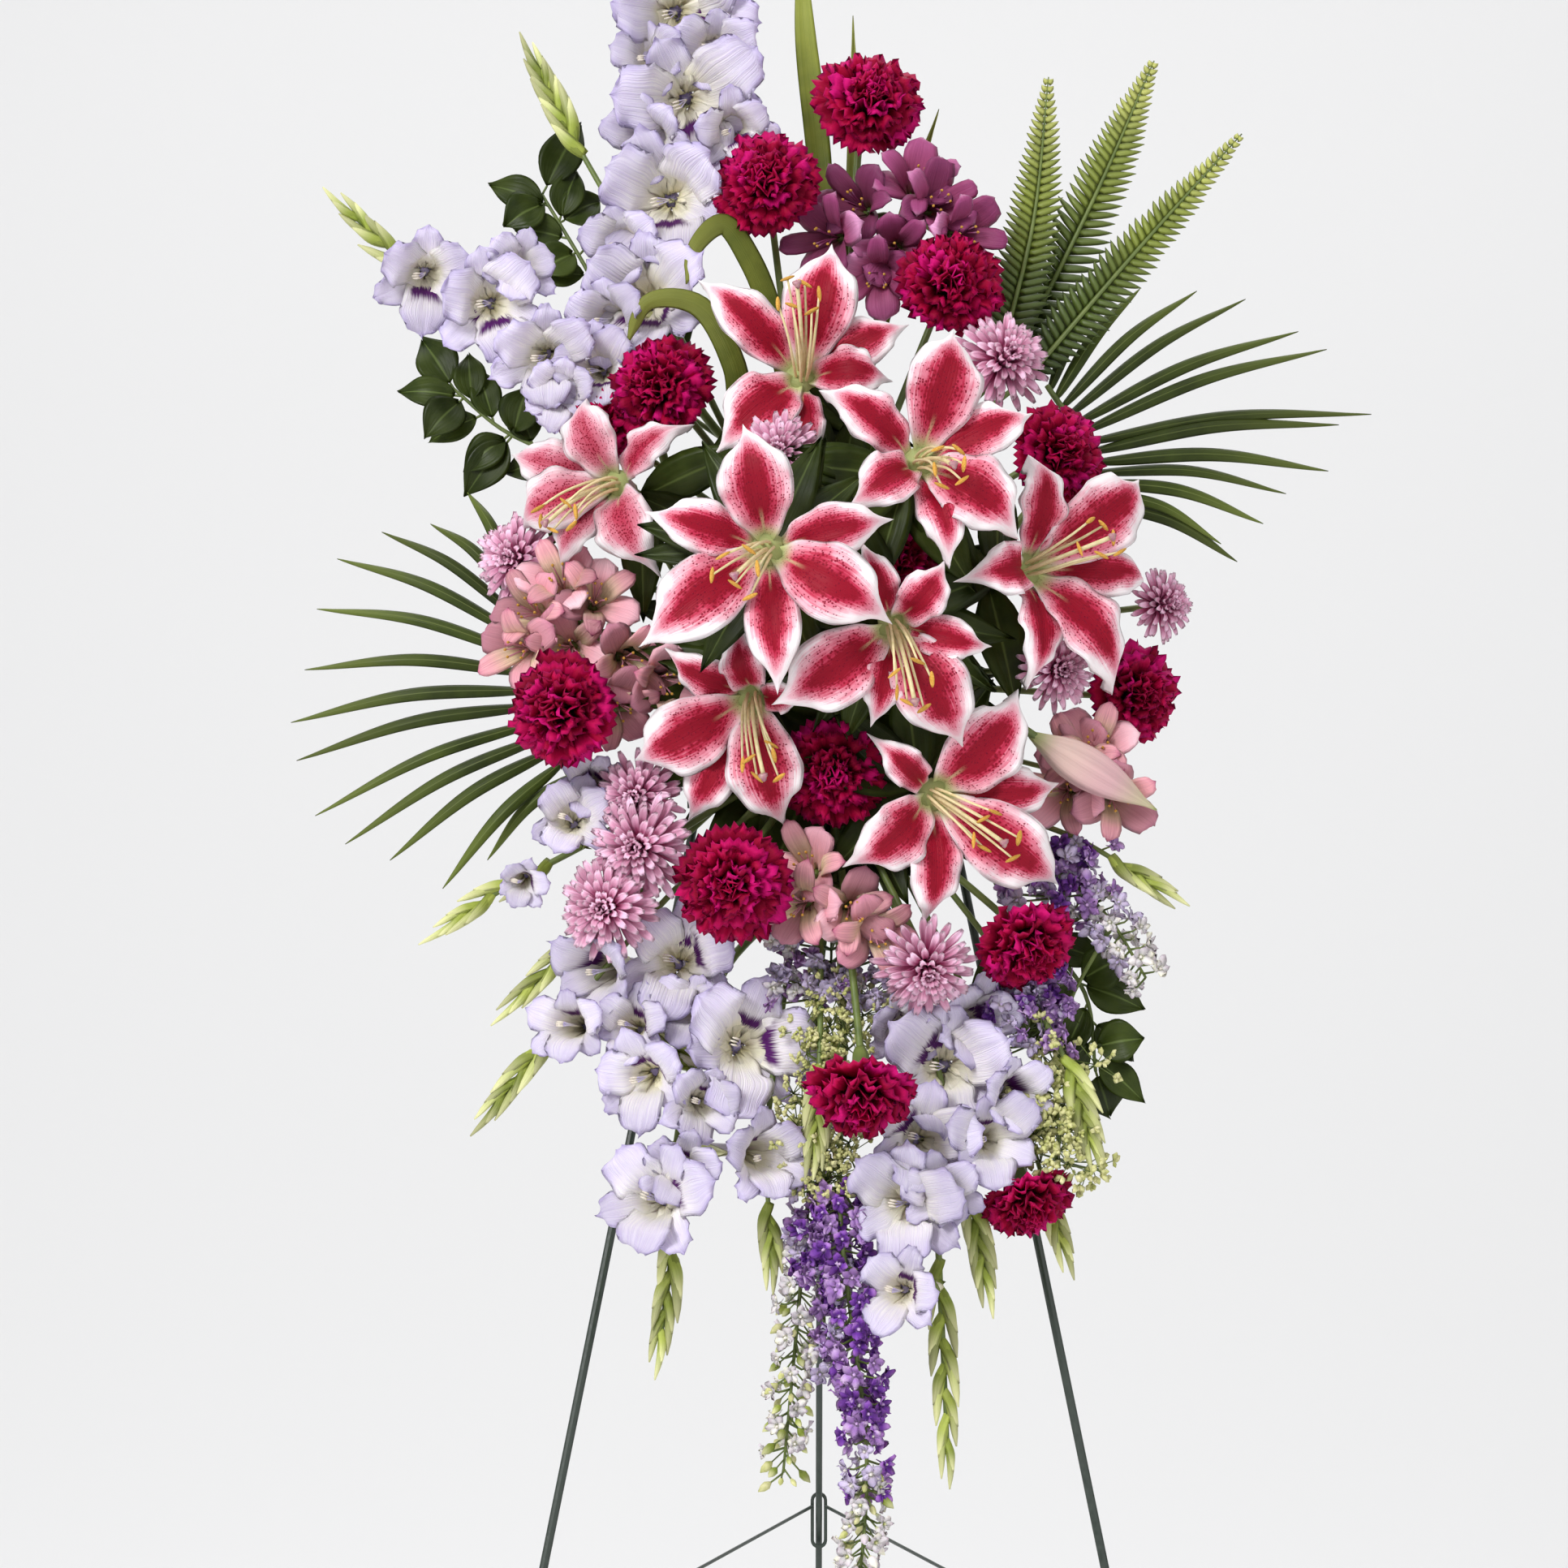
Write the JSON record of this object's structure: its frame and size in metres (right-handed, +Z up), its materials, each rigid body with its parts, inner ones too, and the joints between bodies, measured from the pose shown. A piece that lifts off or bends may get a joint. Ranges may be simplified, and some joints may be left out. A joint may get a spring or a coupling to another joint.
{
  "type": "standing funeral spray",
  "caption": "Standing funeral spray of mixed pink, crimson and lavender flowers with foliage in a foam holder on a folding wire easel.",
  "frame": {"origin": "on the floor under the middle of the whole spray's box", "axes": "+Z up, -Y towards the viewer whom the flowers face, +X to that viewer's right"},
  "size_m": [0.749, 0.8323, 1.8],
  "materials": {
    "easel_wire": "dark green-black enamel",
    "floral_foam": "wet open-cell foam",
    "holder_plastic": "moulded plastic",
    "stem_green": "smooth plant stem",
    "lily_petal": "waxy petal, crimson with a white margin",
    "lily_bud_skin": "waxy petal, pale pink",
    "carnation_petal": "thin ruffled petal, crimson",
    "chrysanthemum_petal": "thin petal, lavender pink",
    "alstroemeria_petal": "thin petal, dusty pink",
    "gladiolus_petal": "thin ruffled petal, pale lavender blue",
    "larkspur_purple_petal": "thin petal, purple",
    "larkspur_lavender_petal": "thin petal, pale lavender",
    "palm_leaf": "satin leaf",
    "fern_leaf": "satin leaf",
    "sword_leaf": "satin leaf",
    "salal_leaf": "leathery leaf"
  },
  "bodies": {
    "spray": {"front_leg_left": "easel_wire", "front_leg_right": "easel_wire", "top_bar": "easel_wire", "crossbar_upper": "easel_wire", "crossbar_lower": "easel_wire", "foam_brick": "floral_foam", "foam_tray": "holder_plastic", "stems": "stem_green", "lily_1": "lily_petal", "lily_2": "lily_petal", "lily_3": "lily_petal", "lily_4": "lily_petal", "lily_5": "lily_petal", "lily_6": "lily_petal", "lily_7": "lily_petal", "lily_8": "lily_petal", "lily_bud": "lily_bud_skin", "carnation_1": "carnation_petal", "carnation_2": "carnation_petal", "carnation_3": "carnation_petal", "carnation_4": "carnation_petal", "carnation_5": "carnation_petal", "carnation_6": "carnation_petal", "carnation_7": "carnation_petal", "carnation_8": "carnation_petal", "carnation_9": "carnation_petal", "carnation_10": "carnation_petal", "carnation_11": "carnation_petal", "carnation_12": "carnation_petal", "carnation_pair": "carnation_petal", "chrysanthemum_1": "chrysanthemum_petal", "chrysanthemum_2": "chrysanthemum_petal", "chrysanthemum_3": "chrysanthemum_petal", "chrysanthemum_4": "chrysanthemum_petal", "chrysanthemum_5": "chrysanthemum_petal", "chrysanthemum_6": "chrysanthemum_petal", "chrysanthemum_cluster": "chrysanthemum_petal", "alstroemeria_top": "alstroemeria_petal", "alstroemeria_left": "alstroemeria_petal", "alstroemeria_lower": "alstroemeria_petal", "alstroemeria_right": "alstroemeria_petal", "gladiolus_top": "gladiolus_petal", "gladiolus_left": "gladiolus_petal", "gladiolus_lower_left": "gladiolus_petal", "gladiolus_hanging": "gladiolus_petal", "gladiolus_right_hanging": "gladiolus_petal", "larkspur_purple": "larkspur_purple_petal", "larkspur_right": "larkspur_purple_petal", "larkspur_lavender": "larkspur_lavender_petal", "palm_left": "palm_leaf", "palm_right": "palm_leaf", "sword_ferns": "fern_leaf", "sword_leaves": "sword_leaf", "salal_upper": "salal_leaf", "salal_left": "salal_leaf", "salal_right": "salal_leaf"},
    "back_leg": {"back_leg": "easel_wire"},
    "spreader": {"spreader_loop": "easel_wire", "spreader_arm_left": "easel_wire", "spreader_arm_right": "easel_wire"}
  },
  "joints": [
    {"name": "back_leg_fold", "type": "hinge", "parent": "spray", "child": "back_leg", "pos_m": [-0.009, -0.058, 1.45], "axis": [1, 0, 0], "range_deg": [-18, 0]},
    {"name": "spreader_drop", "type": "hinge", "parent": "back_leg", "child": "spreader", "pos_m": [-0.009, 0.23768, 0.54], "axis": [1, 0, 0], "range_deg": [-36, 0]}
  ],
  "couplings": [
    {"joint": "spreader_drop", "follows": "back_leg_fold", "ratio": 2}
  ]
}
